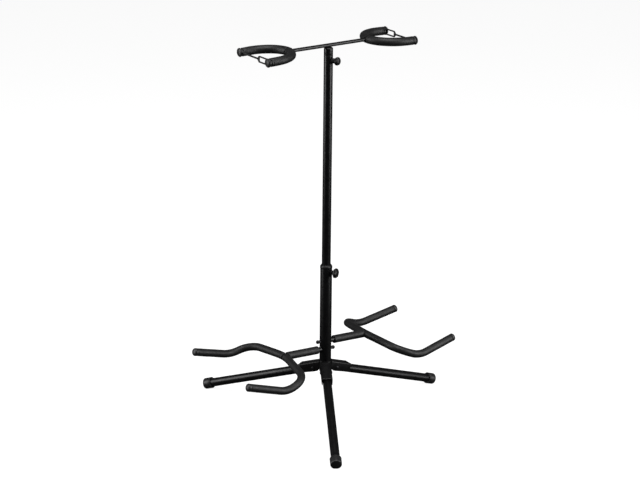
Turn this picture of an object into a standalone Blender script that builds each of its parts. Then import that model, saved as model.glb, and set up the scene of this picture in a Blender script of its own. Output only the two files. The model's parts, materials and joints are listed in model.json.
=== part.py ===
"""Double guitar stand: a tripod post that carries two foam-covered cradles and two padded neck yokes.

The post stands on three legs that fold down beside it. A mast telescopes in the lower tube, and a T-bar
with the two yokes telescopes in the mast; each is held by a screw with a plastic knob.
Units are metres and degrees, +Z is up. Everything is modelled round the post's axis, and one root empty
shifts it so that the origin is on the floor at the centre of the bounding box.
"""
from math import acos, atan2, cos, degrees, pi, radians, sin, sqrt, tan

import bmesh
import bpy
from mathutils import Matrix, Vector

# ---------------------------------------------------------------- driving dimensions
GAP = 0.0003                     # clearance between pieces that touch
FOOTPRINT_SHIFT = -0.0150        # post axis, measured from the centre of the bounding box

POST_R = 0.0127                  # 1 in lower tube
POST_WALL = 0.0014
POST_BOTTOM = 0.0985
POST_TOP = 0.3317

MAST_R = 0.009525                # 3/4 in mast
MAST_WALL = 0.0012
MAST_BOTTOM = 0.2367
MAST_TOP = 0.7964

LEG_R = 0.0095                   # 3/4 in leg tubes
LEG_WALL = 0.0012
LEG_AZIMUTHS = {"right": 0.0, "left": 120.0, "front": -120.0}
LEG_SLOPE = 18.7                 # below horizontal when open
PIVOT_RADIUS = 0.024             # pivot to post axis
PIVOT_HEIGHT = 0.1013
LEG_REACH = 0.2957               # foot's outer end to post axis

HUB_R = 0.0142
HUB_BOTTOM = 0.100
HUB_TOP = 0.121

BRACKET_PLATE = 0.0016
BRACKET_SIDE_PLAY = 0.0004
BRACKET_REACH = 0.0575
WEB_CLEARANCE = 0.0020           # between the open leg and the bracket's web

FOOT_R = 0.0122
FOOT_LENGTH = 0.0190

# each cradle: turn about the post, height of its stem in the post, fall of the stem outwards, roll about it
CRADLES = {"right": (0.0, 0.1653, 2.65, 0.0), "left": (180.0, 0.1472, -2.70, -1.9)}
STEM_R = 0.0055
STUD_R = 0.0025
STEM_FOAM_R = 0.0087
CRADLE_ROD_R = 0.005
CRADLE_FOAM_R = 0.0084
FORK_BACK = 0.1036               # where the two halves of a cradle fork meet, out along its stem
FORK_CORNER = (0.1219, 0.1045)   # out, and to the side
FORK_KNEE = (0.1706, 0.1122)
FORK_TIP = (0.2645, 0.1055)
FORK_CORNER_DROP = 0.0082        # below the stem's line
FORK_KNEE_DROP = 0.0251
FORK_TIP_DROP = 0.0014
FORK_BACK_BEND = 0.12
FORK_CORNER_BEND = 0.0420
FORK_KNEE_BEND = 0.0600
NUT_BALL_R = 0.0042
NUT_BALL_Z = 0.0070              # middle of the ball above the post's surface

YOKE_ROD_R = 0.0039
YOKE_FOAM_R = 0.0090
YOKE_HALF = ((0.0995, 0.0), (0.1123, 0.0319), (0.1422, 0.0497), (0.1818, 0.0524))
YOKE_TIP_DROP = 0.0024
STRAP_LOOP = 0.034               # length of the loop that unhooks
STRAP_THICKNESS = 0.003
STRAP_STRAND = 0.0026
NECK_R = 0.0052                  # groove in a yoke cap

CLAMP_AZIMUTH = -60.0            # side of the post that both knobs face
SCREW_R = 0.003
HEIGHT_KNOB_Z = 0.3232
YOKE_KNOB_Z = 0.785

TUBE_SIDES = 32
SMALL_SIDES = 16
ROD_SIDES = 12
FOAM_SIDES = 14

STEEL = ("black_powder_coat", (0.012, 0.012, 0.014), 0.35, 0.0)
PLASTIC = ("black_plastic", (0.014, 0.014, 0.015), 0.45, 0.0)
RUBBER = ("black_rubber", (0.022, 0.022, 0.023), 0.75, 0.0)
FOAM = ("charcoal_foam", (0.035, 0.035, 0.037), 0.9, 0.0)
SCREW_STEEL = ("black_oxide_steel", (0.03, 0.03, 0.032), 0.4, 0.9)


# ---------------------------------------------------------------- scene helpers
def clear_scene():
    for obj in list(bpy.data.objects):
        bpy.data.objects.remove(obj)


def material(spec):
    name, colour, roughness, metallic = spec
    found = bpy.data.materials.get(name)
    if found:
        return found
    made = bpy.data.materials.new(name)
    made.use_nodes = True
    shader = made.node_tree.nodes["Principled BSDF"]
    shader.inputs["Base Color"].default_value = (*colour, 1.0)
    shader.inputs["Roughness"].default_value = roughness
    shader.inputs["Metallic"].default_value = metallic
    made.diffuse_color = (*colour, 1.0)
    return made


class Pivot:
    """An empty that a group of pieces hangs on, at a place given from the post's foot."""

    def __init__(self, name, place, parent=None):
        self.place = Vector(place)
        self.empty = bpy.data.objects.new(name, None)
        bpy.context.scene.collection.objects.link(self.empty)
        if parent is None:
            self.empty.location = self.place
        else:
            self.empty.parent = parent.empty
            self.empty.location = self.place - parent.offset
        self.offset = Vector((0.0, 0.0, 0.0)) if parent is None else self.place


def add(name, bm, spec, pivot, matrix):
    """Make one named piece from a bmesh; matrix places it from the post's foot."""
    bmesh.ops.recalc_face_normals(bm, faces=bm.faces)
    mesh = bpy.data.meshes.new(name)
    bm.to_mesh(mesh)
    bm.free()
    mesh.shade_smooth()
    mesh.set_sharp_from_angle(angle=radians(35))
    mesh.materials.append(material(spec))
    obj = bpy.data.objects.new(name, mesh)
    bpy.context.scene.collection.objects.link(obj)
    obj.parent = pivot.empty
    obj.matrix_basis = Matrix.Translation(-pivot.offset) @ matrix
    return obj


def cut(obj, name, bm, pivot, matrix):
    """Subtract a hidden cutter from a piece."""
    cutter = add(name, bm, STEEL, pivot, matrix)
    cutter.hide_render = True
    cutter.display_type = 'WIRE'
    modifier = obj.modifiers.new(name, 'BOOLEAN')
    modifier.operation = 'DIFFERENCE'
    modifier.solver = 'EXACT'
    modifier.object = cutter


def along(place, direction, up=(0.0, 0.0, 1.0)):
    """Matrix with its local +Z along direction and its local +Y near up, or near X for an upright one."""
    z = Vector(direction).normalized()
    guide = Vector(up)
    if abs(z.dot(guide)) > 0.99:
        guide = Vector((1.0, 0.0, 0.0))
    x = guide.cross(z).normalized()
    y = z.cross(x)
    rotation = Matrix((x, y, z)).transposed().to_4x4()
    return Matrix.Translation(Vector(place)) @ rotation


def outward(azimuth):
    return Vector((cos(radians(azimuth)), sin(radians(azimuth)), 0.0))


# ---------------------------------------------------------------- shapes
def skin(rings, closed):
    """Join rings of points into a solid: closed on itself, or with a flat face over each end ring."""
    bm = bmesh.new()
    rows = [[bm.verts.new(point) for point in ring] for ring in rings]
    count = len(rows[0])
    pairs = list(zip(rows, rows[1:]))
    if closed:
        pairs.append((rows[-1], rows[0]))
    for lower, upper in pairs:
        for i in range(count):
            j = (i + 1) % count
            bm.faces.new((lower[i], lower[j], upper[j], upper[i]))
    if not closed:
        bm.faces.new(rows[0])
        bm.faces.new(rows[-1])
    return bm


def turned(profile, sides, closed, lobes=0, lobe_depth=0.0, lobe_from=0.0):
    """Turn a profile of (radius, height) points about Z, with grip lobes outside the radius lobe_from."""
    rings = []
    for radius, height in profile:
        ring = []
        for i in range(sides):
            angle = 2 * pi * i / sides
            swell = 1.0
            if lobes and radius > lobe_from:
                swell += lobe_depth * cos(lobes * angle)
            ring.append((radius * swell * cos(angle), radius * swell * sin(angle), height))
        rings.append(ring)
    return skin(rings, closed)


def tube(outer, inner, low, high, sides):
    return turned([(outer, low), (outer, high), (inner, high), (inner, low)], sides, closed=True)


def rod(radius, low, high, sides):
    return turned([(radius, low), (radius, high)], sides, closed=False)


def block(low, high):
    bm = bmesh.new()
    size = Vector(high) - Vector(low)
    middle = (Vector(high) + Vector(low)) / 2
    bmesh.ops.create_cube(bm, size=1.0, matrix=Matrix.Translation(middle) @ Matrix.Diagonal((*size, 1.0)))
    return bm


def prism(outline, low, high):
    """Extrude an (x, y) outline along Z."""
    return skin([[(x, y, low) for x, y in outline], [(x, y, high) for x, y in outline]], closed=False)


def arc(centre, radius, start, end, steps):
    angles = [radians(start + (end - start) * i / steps) for i in range(steps + 1)]
    return [(centre[0] + radius * cos(a), centre[1] + radius * sin(a)) for a in angles]


def rounded_path(corners, radii, steps):
    """Round the inner corners of a 3-D polyline with arcs of the given radii."""
    points = [Vector(corners[0])]
    for before, corner, after, radius in zip(corners, corners[1:], corners[2:], radii):
        corner = Vector(corner)
        back = (Vector(before) - corner).normalized()
        ahead = (Vector(after) - corner).normalized()
        opening = acos(back.dot(ahead))
        reach = radius / tan(opening / 2)
        centre = corner + (back + ahead).normalized() * (radius / sin(opening / 2))
        start = corner + back * reach - centre
        end = corner + ahead * reach - centre
        sweep = start.angle(end)
        for i in range(steps + 1):
            t = i / steps
            mix = (start * sin((1 - t) * sweep) + end * sin(t * sweep)) / sin(sweep)
            points.append(centre + mix)
    points.append(Vector(corners[-1]))
    return points


def smooth_path(points, steps):
    """A smooth curve through the points, with steps to each stretch."""
    points = [Vector(p) for p in points]
    padded = [2 * points[0] - points[1], *points, 2 * points[-1] - points[-2]]
    curve = []
    for a, b, c, d in zip(padded, padded[1:], padded[2:], padded[3:]):
        for i in range(steps):
            t = i / steps
            curve.append(0.5 * (2 * b + (c - a) * t + (2 * a - 5 * b + 4 * c - d) * t ** 2
                                + (3 * b - a - 3 * c + d) * t ** 3))
    curve.append(points[-1])
    return curve


def path_length(path):
    return sum((b - a).length for a, b in zip(path, path[1:]))


def stretch(path, start, end):
    """The part of a polyline between two distances along it."""
    kept = []
    run = 0.0
    for a, b in zip(path, path[1:]):
        step = (b - a).length
        for wanted in (start, end):
            if run <= wanted < run + step:
                kept.append((wanted, a.lerp(b, (wanted - run) / step)))
        if start < run + step < end:
            kept.append((run + step, b))
        run += step
    if end >= run:
        kept.append((run, path[-1]))
    kept.sort(key=lambda item: item[0])
    points = [kept[0][1]]
    for _, point in kept[1:]:
        if (point - points[-1]).length > 0.0004:
            points.append(point)
    return points


def swept_rings(path, radius, sides):
    """Circles along a path, carried without twist and mitred at its corners."""
    rings = []
    count = len(path)
    tangents = [(path[min(i + 1, count - 1)] - path[max(i - 1, 0)]).normalized() for i in range(count)]
    side = tangents[0].cross(Vector((0.0, 0.0, 1.0))).normalized()
    for point, tangent in zip(path, tangents):
        side = (side - tangent * side.dot(tangent)).normalized()
        other = tangent.cross(side)
        angles = [2 * pi * i / sides for i in range(sides)]
        rings.append([point + radius * (side * cos(a) + other * sin(a)) for a in angles])
    return rings


def swept_rod(path, radius, sides):
    return skin(swept_rings(path, radius, sides), closed=False)


def sleeve(path, radius, bore, sides):
    outside = swept_rings(path, radius, sides)
    inside = swept_rings(path, bore, sides)
    return skin(outside + inside[::-1], closed=True)


# ---------------------------------------------------------------- paths that several pieces share
def cradle_path():
    """Centre line of one cradle fork in its stem's frame, from its -Y tip round the back to its +Y tip."""
    def half(side):
        places = (FORK_CORNER, FORK_CORNER_DROP), (FORK_KNEE, FORK_KNEE_DROP), (FORK_TIP, FORK_TIP_DROP)
        return [(place[0], side * place[1], -drop) for place, drop in places]
    corners = half(-1)[::-1] + [(FORK_BACK, 0.0, 0.0)] + half(1)
    bends = (FORK_KNEE_BEND, FORK_CORNER_BEND)
    return rounded_path(corners, (*bends, FORK_BACK_BEND, *bends[::-1]), steps=5)


def yoke_path():
    """Centre line of one yoke, from its -Y tip round the back to its +Y tip."""
    reach = YOKE_HALF[-1][0] - YOKE_HALF[0][0]
    half = [(x, y, CROSSBAR_Z - YOKE_TIP_DROP * (x - YOKE_HALF[0][0]) / reach) for x, y in YOKE_HALF]
    return smooth_path([(x, -y, z) for x, y, z in half[:0:-1]] + half, steps=4)


def path_back(path):
    """Distance along a path to its middle, and the point there."""
    middle = path_length(path) / 2
    return middle, stretch(path, middle, middle + 0.01)[0]


STEM_HEAD_TOP = MAST_TOP + GAP + 0.0158
CROSSBAR_Z = STEM_HEAD_TOP + GAP + YOKE_ROD_R


# ---------------------------------------------------------------- base: tube, hub and brackets
def build_post(base):
    upright = Matrix.Identity(4)
    inner = POST_R - POST_WALL
    post = add("lower_tube", tube(POST_R, inner, POST_BOTTOM, POST_TOP, TUBE_SIDES), STEEL, base, upright)
    for side in CRADLES:
        stem_axis = cradle_frame(side) @ along((0, 0, 0), (1, 0, 0))
        stem_hole = rod(STEM_R + 0.0004, 0.0, 0.02, SMALL_SIDES)
        cut(post, "post_stem_hole_cutter_" + side, stem_hole, base, stem_axis)
        stud_hole = rod(STUD_R + GAP, -0.02, 0.0, ROD_SIDES)
        cut(post, "post_stud_hole_cutter_" + side, stud_hole, base, stem_axis)
    screw_axis = along((0, 0, HEIGHT_KNOB_Z), outward(CLAMP_AZIMUTH))
    screw_hole = SCREW_R + 0.0005
    cut(post, "post_screw_hole_cutter", rod(screw_hole, 0.005, 0.02, ROD_SIDES), base, screw_axis)

    bore = MAST_R + 0.0003
    sleeve_r = inner - GAP
    seat = POST_TOP + GAP
    collar = turned([(bore, 0.3400), (bore + 0.0005, 0.3400), (0.0131, 0.3364), (0.0131, seat),
                     (sleeve_r, seat), (sleeve_r, seat - 0.0200), (bore, seat - 0.0200)],
                    TUBE_SIDES, closed=True)
    collar = add("tube_collar", collar, PLASTIC, base, upright)
    cut(collar, "collar_screw_hole_cutter", rod(screw_hole, 0.005, 0.02, ROD_SIDES), base, screw_axis)

    nut = add("height_knob_nut", tube(0.0050, SCREW_R + GAP, 0.0100, 0.0146, SMALL_SIDES),
              SCREW_STEEL, base, screw_axis)
    cut(nut, "nut_saddle_cutter", rod(POST_R + GAP, -0.05, 0.05, TUBE_SIDES), base,
        along((0, 0, HEIGHT_KNOB_Z), (0, 0, 1)))

    hub = turned([(POST_R + GAP, HUB_BOTTOM), (HUB_R, HUB_BOTTOM), (HUB_R, HUB_TOP - 0.001),
                  (HUB_R - 0.0008, HUB_TOP), (POST_R + GAP, HUB_TOP)], TUBE_SIDES, closed=True)
    add("hub_sleeve", hub, STEEL, base, upright)

    plug = turned([(0.0110, POST_BOTTOM - GAP - 0.0032), (0.0124, POST_BOTTOM - GAP - 0.0022),
                   (0.0124, POST_BOTTOM - GAP), (inner - GAP, POST_BOTTOM - GAP),
                   (inner - 0.0006, POST_BOTTOM + 0.010)], 24, closed=False)
    add("bottom_plug", plug, PLASTIC, base, upright)


def leg_frame(azimuth):
    """Frame at a leg's pivot: local +Z runs out along the open leg, local +Y is across it, upwards."""
    out = outward(azimuth)
    slope = radians(LEG_SLOPE)
    direction = out * cos(slope) - Vector((0, 0, sin(slope)))
    return along(out * PIVOT_RADIUS + Vector((0, 0, PIVOT_HEIGHT)), direction)


def build_bracket(name, azimuth, base):
    """Inverted channel: its web lies just over the open leg, its cheeks carry the rivet."""
    frame = leg_frame(azimuth)
    to_side = frame @ Matrix.Rotation(radians(-90), 4, 'Y')     # local +X along the leg, +Z across it
    half_gap = LEG_R + BRACKET_SIDE_PLAY
    half_width = half_gap + BRACKET_PLATE
    web_under = LEG_R + WEB_CLEARANCE
    web_top = web_under + BRACKET_PLATE
    end = (BRACKET_REACH - PIVOT_RADIUS) / cos(radians(LEG_SLOPE))
    outline = [(-0.018, web_top), (end - 0.001, web_top), (end, web_top - 0.0010), (end, -0.0045),
               (end - 0.004, -0.0062), (0.0, -0.0080)]
    outline += arc((0.0, 0.0), 0.0080, 270, 200, 5) + [(-0.018, -0.001)]
    bracket = add(name, prism(outline, -half_width, half_width), STEEL, base, to_side)
    cut(bracket, name + "_slot_cutter", block((-0.03, -0.02, -half_gap), (0.06, web_under, half_gap)),
        base, to_side)
    cut(bracket, name + "_hub_cutter", rod(HUB_R + GAP, 0.05, 0.15, TUBE_SIDES), base, Matrix.Identity(4))
    cut(bracket, name + "_rivet_cutter", rod(0.0029 + GAP, -0.02, 0.02, ROD_SIDES), base, to_side)


def build_rivet(name, azimuth, base):
    shank = 0.0029
    under_head = LEG_R + BRACKET_SIDE_PLAY + BRACKET_PLATE + GAP
    half = [(shank, under_head), (0.0039, under_head), (0.0037, under_head + 0.0009),
            (0.0022, under_head + 0.0018)]
    profile = [(r, -z) for r, z in half[::-1]] + half
    to_side = leg_frame(azimuth) @ Matrix.Rotation(radians(-90), 4, 'Y')
    add(name, turned(profile, SMALL_SIDES, closed=False), SCREW_STEEL, base, to_side)


# ---------------------------------------------------------------- legs
def leg_tube_mesh(length):
    """A tube whose inner end is rounded about the pivot, so that it turns clear of the hub and the web."""
    inner = LEG_R - LEG_WALL
    sides = 24
    rings = {}
    for key, radius in (("outer", LEG_R), ("inner", inner)):
        near = []
        far = []
        for i in range(sides):
            angle = 2 * pi * i / sides
            x = radius * cos(angle)
            y = radius * sin(angle)
            near.append((x, y, -sqrt(LEG_R ** 2 - y ** 2)))
            far.append((x, y, length))
        rings[key] = (near, far)
    return skin([rings["outer"][0], rings["outer"][1], rings["inner"][1], rings["inner"][0]], closed=True)


def build_leg(side, azimuth, root):
    frame = leg_frame(azimuth)
    pivot = Pivot("leg_" + side + "_pivot", frame.translation, root)
    foot_end = (LEG_REACH - PIVOT_RADIUS) / cos(radians(LEG_SLOPE))
    foot_start = foot_end - FOOT_LENGTH
    bore_end = foot_end - 0.0050
    leg = add("leg_tube_" + side, leg_tube_mesh(bore_end - GAP), STEEL, pivot, frame)
    to_side = frame @ Matrix.Rotation(radians(-90), 4, 'Y')
    cut(leg, "leg_tube_" + side + "_hole_cutter", rod(0.0029 + GAP, -0.02, 0.02, ROD_SIDES), pivot, to_side)

    bore = LEG_R + GAP
    foot = turned([(bore, bore_end), (bore, foot_start), (FOOT_R + 0.0002, foot_start),
                   (FOOT_R + 0.0002, foot_start + 0.0022), (FOOT_R - 0.0009, foot_start + 0.0024),
                   (FOOT_R - 0.0009, foot_start + 0.0034), (FOOT_R, foot_start + 0.0036),
                   (FOOT_R, foot_end - 0.0012), (FOOT_R - 0.0010, foot_end)], 28, closed=False)
    foot = add("leg_foot_" + side, foot, RUBBER, pivot, frame)
    under = outward(azimuth) * LEG_REACH
    floor = block((-0.05, -0.05, -0.05), (0.05, 0.05, 0.0))
    cut(foot, "leg_foot_" + side + "_sole_cutter", floor, pivot, Matrix.Translation(under))


# ---------------------------------------------------------------- cradles
def cradle_frame(side):
    """Frame on the post's axis with local +X out along a cradle's stem."""
    turn, height, fall, roll = CRADLES[side]
    lift = Matrix.Translation((0.0, 0.0, height)) @ Matrix.Rotation(radians(turn), 4, 'Z')
    return lift @ Matrix.Rotation(radians(fall), 4, 'Y') @ Matrix.Rotation(radians(roll), 4, 'X')


def build_cradle(side, base):
    """Stem with a studded end through the post, a fork welded across its outer end, foam sleeves, caps."""
    frame = cradle_frame(side)
    path = cradle_path()
    middle, back = path_back(path)
    total = path_length(path)
    stem_axis = frame @ along((0, 0, 0), (1, 0, 0))
    across = frame @ along(back, (0, 1, 0))

    stem = turned([(STUD_R, -0.0190), (STUD_R, -0.0093), (STEM_R, -0.0093), (STEM_R, back.x - 0.0020)],
                  SMALL_SIDES, closed=False)
    stem = add("cradle_stem_" + side, stem, STEEL, base, stem_axis)
    saddle = rod(CRADLE_ROD_R + GAP, -0.02, 0.02, 24)
    cut(stem, "stem_" + side + "_saddle_cutter", saddle, base, across)
    stem_foam = tube(STEM_FOAM_R, STEM_R + GAP, 0.0205, back.x - 0.0045, SMALL_SIDES)
    stem_foam = add("cradle_stem_foam_" + side, stem_foam, FOAM, base, stem_axis)
    saddle = rod(CRADLE_FOAM_R + GAP, -0.02, 0.02, 24)
    cut(stem_foam, "stem_foam_" + side + "_saddle_cutter", saddle, base, across)
    nut_seat = frame @ along((-POST_R - GAP, 0, 0), (-1, 0, 0))
    add("cradle_nut_" + side, nut_mesh(), SCREW_STEEL, base, nut_seat)

    rod_path = stretch(path, 0.0, total)
    add("cradle_fork_" + side, swept_rod(rod_path, CRADLE_ROD_R, ROD_SIDES), STEEL, base, frame)

    cap_seat = 0.0045            # how far the rod reaches into a cap
    for end, start, finish, tip in (("a", cap_seat + GAP, middle - 0.0012, path[0]),
                                    ("b", middle + 0.0012, total - cap_seat - GAP, path[-1])):
        foam = sleeve(stretch(path, start, finish), CRADLE_FOAM_R, CRADLE_ROD_R + GAP, FOAM_SIDES)
        name = "cradle_foam_" + side + "_" + end
        foam = add(name, foam, FOAM, base, frame)
        notch = rod(STEM_R + 0.0006, 0.05, back.x - 0.002, SMALL_SIDES)
        cut(foam, name + "_notch_cutter", notch, base, stem_axis)
        inner_point = path[1] if end == "a" else path[-2]
        direction = (tip - inner_point).normalized()
        start_of_cap = tip - direction * cap_seat
        cap = turned([(CRADLE_ROD_R + GAP, cap_seat + GAP), (CRADLE_ROD_R + GAP, 0.0), (0.0083, 0.0),
                      (0.0085, 0.0008), (0.0085, 0.0034), (0.0078, 0.0056), (0.0058, 0.0077),
                      (0.0028, 0.0087)], SMALL_SIDES, closed=False)
        add("cradle_cap_" + side + "_" + end, cap, RUBBER, base, frame @ along(start_of_cap, direction))


def nut_mesh():
    """Ball-ended nut that stands on z = 0, with a blind bore for the stud."""
    bore = STUD_R + GAP
    neck = 0.0034
    ball = [(NUT_BALL_R * cos(radians(a)), NUT_BALL_Z + NUT_BALL_R * sin(radians(a)))
            for a in (-36, -18, 0, 20, 40, 60, 78)]
    profile = [(bore, 0.0065), (bore, 0.0), (neck, 0.0), *ball]
    return turned(profile, SMALL_SIDES, closed=False)


# ---------------------------------------------------------------- mast
def build_mast(carriage, mast):
    upright = Matrix.Identity(4)
    inner = MAST_R - MAST_WALL
    seat = MAST_BOTTOM - GAP
    guide_r = POST_R - POST_WALL - GAP
    glide = turned([(guide_r - 0.0008, seat - 0.0062), (guide_r, seat - 0.0052), (guide_r, seat),
                    (inner - GAP, seat), (inner - GAP, seat + 0.010)], TUBE_SIDES, closed=False)
    add("mast_glide", glide, PLASTIC, carriage, upright)

    pole = add("mast_tube", tube(MAST_R, inner, MAST_BOTTOM, MAST_TOP, TUBE_SIDES), STEEL, mast, upright)
    screw_axis = along((0, 0, YOKE_KNOB_Z), outward(CLAMP_AZIMUTH))
    cut(pole, "mast_screw_hole_cutter", rod(SCREW_R + 0.0005, 0.004, 0.02, ROD_SIDES), mast, screw_axis)
    boss = tube(0.0054, SCREW_R + GAP, 0.0060, 0.0142, SMALL_SIDES)
    boss = add("yoke_knob_boss", boss, STEEL, mast, screw_axis)
    cut(boss, "boss_saddle_cutter", rod(MAST_R + GAP, -0.05, 0.05, TUBE_SIDES), mast,
        along((0, 0, YOKE_KNOB_Z), (0, 0, 1)))


# ---------------------------------------------------------------- T-bar with the two yokes
def build_yoke_stem(head):
    spigot = MAST_R - MAST_WALL - 0.000325
    bottom = MAST_TOP - 0.090
    shoulder = MAST_TOP + GAP
    profile = [(spigot - 0.0012, STEM_HEAD_TOP - 0.006), (spigot - 0.0012, bottom), (spigot, bottom),
               (spigot, shoulder), (MAST_R, shoulder), (MAST_R, STEM_HEAD_TOP - 0.0022),
               (MAST_R - 0.0008, STEM_HEAD_TOP - 0.0007), (MAST_R - 0.0024, STEM_HEAD_TOP)]
    add("yoke_stem", turned(profile, TUBE_SIDES, closed=False), STEEL, head, Matrix.Identity(4))
    reach = path_back(yoke_path())[1].x - YOKE_ROD_R - GAP
    bar = rod(YOKE_ROD_R, -reach, reach, ROD_SIDES)
    add("yoke_crossbar", bar, STEEL, head, along((0, 0, CROSSBAR_Z), (1, 0, 0)))


CAP_FLANGE = 0.0024
CAP_NECK = 0.0042
CAP_DOME = 0.0050


def yoke_cap_mesh():
    """Button for a yoke tip: flange against the foam, neck for the strap, domed head; blind bore below."""
    bore = YOKE_ROD_R + GAP
    top = CAP_FLANGE + CAP_NECK + CAP_DOME
    neck_end = CAP_FLANGE + CAP_NECK
    profile = [(bore, neck_end + 0.0012), (bore, 0.0), (0.0090, 0.0), (0.0090, CAP_FLANGE - 0.0006),
               (0.0084, CAP_FLANGE), (NECK_R, CAP_FLANGE), (NECK_R, neck_end), (0.0088, neck_end),
               (0.0094, neck_end + 0.0010), (0.0088, neck_end + 0.0028), (0.0064, top - 0.0006),
               (0.0032, top)]
    return turned(profile, SMALL_SIDES, closed=False)


def strap_mesh(half_span):
    """Flat rubber strap in the (x, y) plane: a ring at -half_span, and a long loop round +half_span."""
    outer = NECK_R + GAP + STRAP_STRAND
    bar = 0.0015
    nip = degrees(atan2(bar, sqrt(outer ** 2 - bar ** 2)))
    loop_start = half_span - STRAP_LOOP
    outline = arc((-half_span, 0.0), outer, nip, 360 - nip, 14)
    outline += arc((loop_start, 0.0), outer, 180 + nip, 270, 4)
    outline += arc((half_span, 0.0), outer, -90, 90, 8)
    outline += arc((loop_start, 0.0), outer, 90, 180 - nip, 4)
    half = STRAP_THICKNESS / 2
    hole = outer - STRAP_STRAND
    ring_hole = arc((-half_span, 0.0), hole, 0, 330, 11)
    slot = arc((half_span, 0.0), hole, -90, 90, 6) + arc((loop_start, 0.0), hole, 90, 270, 6)
    return prism(outline, -half, half), prism(ring_hole, -0.01, 0.01), prism(slot, -0.01, 0.01)


def build_yoke(side, turn, head):
    frame = Matrix.Rotation(radians(turn), 4, 'Z')
    path = yoke_path()
    middle, back = path_back(path)
    total = path_length(path)
    rod_path = stretch(path, 0.0, total)
    add("yoke_fork_" + side, swept_rod(rod_path, YOKE_ROD_R, ROD_SIDES), STEEL, head, frame)

    seat = CAP_FLANGE + CAP_NECK + 0.0008      # how far the rod reaches into a cap
    bar_axis = frame @ along((0, 0, CROSSBAR_Z), (1, 0, 0))
    for end, start, finish, tip in (("a", seat + GAP, middle - 0.0020, path[0]),
                                    ("b", middle + 0.0020, total - seat - GAP, path[-1])):
        foam = sleeve(stretch(path, start, finish), YOKE_FOAM_R, YOKE_ROD_R + GAP, FOAM_SIDES)
        name = "yoke_foam_" + side + "_" + end
        foam = add(name, foam, FOAM, head, frame)
        notch = rod(YOKE_ROD_R + 0.0005, 0.05, back.x - 0.002, SMALL_SIDES)
        cut(foam, name + "_notch_cutter", notch, head, bar_axis)
        inner_point = path[1] if end == "a" else path[-2]
        direction = (tip - inner_point).normalized()
        place = frame @ along(tip - direction * seat, direction)
        add("yoke_cap_" + side + "_" + end, yoke_cap_mesh(), RUBBER, head, place)

    neck_x = path[-1].x - seat + CAP_FLANGE + CAP_NECK / 2
    half_span = path[-1].y - 0.0002
    body, ring_hole, slot = strap_mesh(half_span)
    neck_z = path[-1].z
    flat = Matrix(((0, 0, 1, neck_x), (1, 0, 0, 0), (0, 1, 0, neck_z), (0, 0, 0, 1)))
    strap = add("yoke_strap_" + side, body, RUBBER, head, frame @ flat)
    cut(strap, "strap_" + side + "_ring_cutter", ring_hole, head, frame @ flat)
    cut(strap, "strap_" + side + "_slot_cutter", slot, head, frame @ flat)


# ---------------------------------------------------------------- knobs
def build_height_knob(knob):
    axis = along((0, 0, HEIGHT_KNOB_Z), outward(CLAMP_AZIMUTH))
    tip = MAST_R + GAP
    add("height_knob_screw", rod(SCREW_R, tip, 0.0248, ROD_SIDES), SCREW_STEEL, knob, axis)
    bore = SCREW_R + GAP
    profile = [(bore, 0.0251), (bore, 0.0172), (0.0056, 0.0172), (0.0062, 0.0184), (0.0092, 0.0190),
               (0.0101, 0.0202), (0.0101, 0.0240), (0.0092, 0.0258), (0.0064, 0.0270), (0.0030, 0.0274)]
    head = turned(profile, 36, closed=False, lobes=6, lobe_depth=0.06, lobe_from=0.007)
    add("height_knob_head", head, PLASTIC, knob, axis)


def build_yoke_knob(knob):
    axis = along((0, 0, YOKE_KNOB_Z), outward(CLAMP_AZIMUTH))
    spigot = MAST_R - MAST_WALL - 0.000325
    add("yoke_knob_screw", rod(SCREW_R, spigot + GAP, 0.0216, ROD_SIDES), SCREW_STEEL, knob, axis)
    bore = SCREW_R + GAP
    profile = [(bore, 0.0219), (bore, 0.0147), (0.0058, 0.0147), (0.0066, 0.0162), (0.0078, 0.0174),
               (0.0085, 0.0190), (0.0085, 0.0218), (0.0077, 0.0241), (0.0054, 0.0258), (0.0025, 0.0264)]
    head = turned(profile, 36, closed=False, lobes=6, lobe_depth=0.05, lobe_from=0.007)
    add("yoke_knob_head", head, PLASTIC, knob, axis)


def build_stand():
    clear_scene()
    root = Pivot("stand_frame", (FOOTPRINT_SHIFT, 0.0, 0.0))
    base = Pivot("base_frame", (0.0, 0.0, 0.0), root)
    build_post(base)
    for side, azimuth in LEG_AZIMUTHS.items():
        build_bracket("leg_bracket_" + side, azimuth, base)
        build_rivet("leg_rivet_" + side, azimuth, base)
        build_leg(side, azimuth, root)
    for side in CRADLES:
        build_cradle(side, base)

    carriage = Pivot("mast_slide_axis", (0.0, 0.0, MAST_BOTTOM), root)
    mast = Pivot("mast_swivel_axis", (0.0, 0.0, MAST_BOTTOM), root)
    head = Pivot("yoke_slide_axis", (0.0, 0.0, MAST_TOP), root)
    build_mast(carriage, mast)
    build_yoke_stem(head)
    build_yoke("right", 0.0, head)
    build_yoke("left", 180.0, head)

    build_height_knob(Pivot("height_knob_axis", outward(CLAMP_AZIMUTH) * POST_R
                            + Vector((0.0, 0.0, HEIGHT_KNOB_Z)), root))
    build_yoke_knob(Pivot("yoke_knob_axis", outward(CLAMP_AZIMUTH) * MAST_R
                          + Vector((0.0, 0.0, YOKE_KNOB_Z)), root))


build_stand()
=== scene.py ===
import json
from math import acos, asin, ceil, cos, degrees, pi, radians, sin, sqrt, tan

import bmesh
import bpy
from mathutils import Matrix, Vector, noise

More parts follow.
